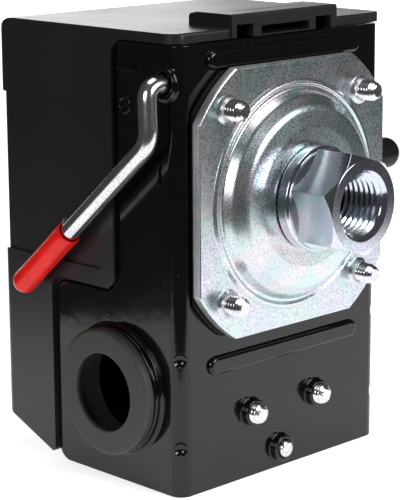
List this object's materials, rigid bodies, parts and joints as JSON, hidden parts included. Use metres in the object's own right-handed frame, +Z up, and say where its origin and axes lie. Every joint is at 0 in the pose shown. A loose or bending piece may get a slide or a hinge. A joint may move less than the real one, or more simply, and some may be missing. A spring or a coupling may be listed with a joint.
{
  "type": "pressure switch",
  "caption": "Air compressor pressure switch: black steel channel housing with plastic cover, zinc diaphragm flange with hexagon port, cable grommets and a manual lever with red sleeve.",
  "frame": {"origin": "centre of the bottom of the part's box, on the plane of the front plate's bottom edge", "axes": "+Z up along the housing, -Y out of the threaded port, +X towards the unloader valve's side"},
  "size_m": [0.0804, 0.076, 0.0972],
  "materials": {
    "painted_steel": "glossy black enamel",
    "black_plastic": "satin moulded, light scratches",
    "cap_plastic": "satin",
    "block_plastic": "moulded phenolic, satin",
    "zinc_plate": "bright zinc, faint rainbow, fine grain",
    "spring_steel": "oiled spring steel",
    "brass": "plain turned and stamped brass",
    "grommet_rubber": "matt grey-green rubber",
    "diaphragm_rubber": "matt black sheet rubber",
    "red_pvc": "glossy dipped sleeve"
  },
  "bodies": {
    "housing": {"chassis": "painted_steel", "grommet_left": "grommet_rubber", "grommet_right": "grommet_rubber", "cover_post": "brass", "diaphragm": "diaphragm_rubber", "diaphragm_flange": "zinc_plate", "port_hex": "zinc_plate", "flange_screw_ul": "zinc_plate", "flange_screw_ur": "zinc_plate", "flange_screw_ll": "zinc_plate", "flange_screw_lr": "zinc_plate", "mechanism_bracket": "zinc_plate", "pivot_pin": "zinc_plate", "range_stud": "zinc_plate", "range_spring": "spring_steel", "differential_stud": "zinc_plate", "differential_spring": "spring_steel", "terminal_block": "block_plastic", "terminal_1": "brass", "terminal_2": "brass", "terminal_3": "brass", "terminal_4": "brass", "terminal_screw_1": "zinc_plate", "terminal_screw_2": "zinc_plate", "terminal_screw_3": "zinc_plate", "terminal_screw_4": "zinc_plate", "block_screw_1": "zinc_plate", "block_screw_2": "zinc_plate", "block_rivet": "zinc_plate", "valve_body": "brass", "valve_nut": "brass"},
    "cover": {"cover": "black_plastic", "cover_screw": "zinc_plate"},
    "rocker": {"rocker_plate": "zinc_plate"},
    "pressure_plate": {"pressure_plate": "zinc_plate"},
    "contacts": {"contact_carrier": "block_plastic", "contact_bridge_left": "brass", "contact_bridge_right": "brass", "contact_spring_left": "spring_steel", "contact_spring_right": "spring_steel"},
    "valve_pin": {"valve_pin": "zinc_plate"},
    "valve_cap": {"valve_cap": "cap_plastic"},
    "lever": {"lever_rod": "zinc_plate", "lever_sleeve": "red_pvc"},
    "range_cup": {"range_spring_cup": "zinc_plate"},
    "range_nut": {"range_nut": "zinc_plate"},
    "differential_cup": {"differential_spring_cup": "zinc_plate"},
    "differential_nut": {"differential_nut": "zinc_plate"}
  },
  "joints": [
    {"name": "rocker_tilt", "type": "hinge", "parent": "housing", "child": "rocker", "pos_m": [-0.00263, -0.00535, 0.088], "axis": [1, 0, 0], "range_deg": [0, 2.6], "stiffness_Nm_per_rad": 2, "deforming": ["range_spring", "differential_spring"]},
    {"name": "pressure_plate_slide", "type": "slide", "parent": "housing", "child": "pressure_plate", "axis": [0, 1, 0], "range_m": [0, 0.0014], "deforming": ["diaphragm"]},
    {"name": "contact_slide", "type": "slide", "parent": "housing", "child": "contacts", "axis": [0, 1, 0], "range_m": [0, 0.0027]},
    {"name": "valve_pin_slide", "type": "slide", "parent": "housing", "child": "valve_pin", "axis": [1, 0, 0], "range_m": [0, 0.0013]},
    {"name": "valve_cap_pull", "type": "slide", "parent": "housing", "child": "valve_cap", "axis": [1, 0, 0], "range_m": [0, 0.012]},
    {"name": "lever_turn", "type": "hinge", "parent": "housing", "child": "lever", "pos_m": [-0.00263, -0.01255, 0.0846], "axis": [1, 0, 0], "range_deg": [0, 50]},
    {"name": "cover_pull", "type": "slide", "parent": "housing", "child": "cover", "axis": [0, 1, 0], "range_m": [0, 0.07]},
    {"name": "range_nut_turn", "type": "hinge", "parent": "range_cup", "child": "range_nut", "pos_m": [-0.01388, 0.02565, 0.045], "axis": [0, -1, 0], "range_deg": [-360, 360]},
    {"name": "range_cup_slide", "type": "slide", "parent": "housing", "child": "range_cup", "axis": [0, -1, 0], "range_m": [-0.001, 0.001], "deforming": ["range_spring"]},
    {"name": "differential_nut_turn", "type": "hinge", "parent": "differential_cup", "child": "differential_nut", "pos_m": [0.00863, 0.01765, 0.045], "axis": [0, -1, 0], "range_deg": [-360, 360]},
    {"name": "differential_cup_slide", "type": "slide", "parent": "housing", "child": "differential_cup", "axis": [0, -1, 0], "range_m": [-0.0008, 0.0008], "deforming": ["differential_spring"]}
  ],
  "couplings": [
    {"joint": "pressure_plate_slide", "follows": "rocker_tilt", "m_per_rad": 0.0285},
    {"joint": "contact_slide", "follows": "rocker_tilt", "m_per_rad": 0.057},
    {"joint": "valve_pin_slide", "follows": "rocker_tilt", "m_per_rad": 0.026},
    {"joint": "range_nut_turn", "follows": "range_cup_slide", "rad_per_m": 6283},
    {"joint": "differential_nut_turn", "follows": "differential_cup_slide", "rad_per_m": 7850}
  ]
}
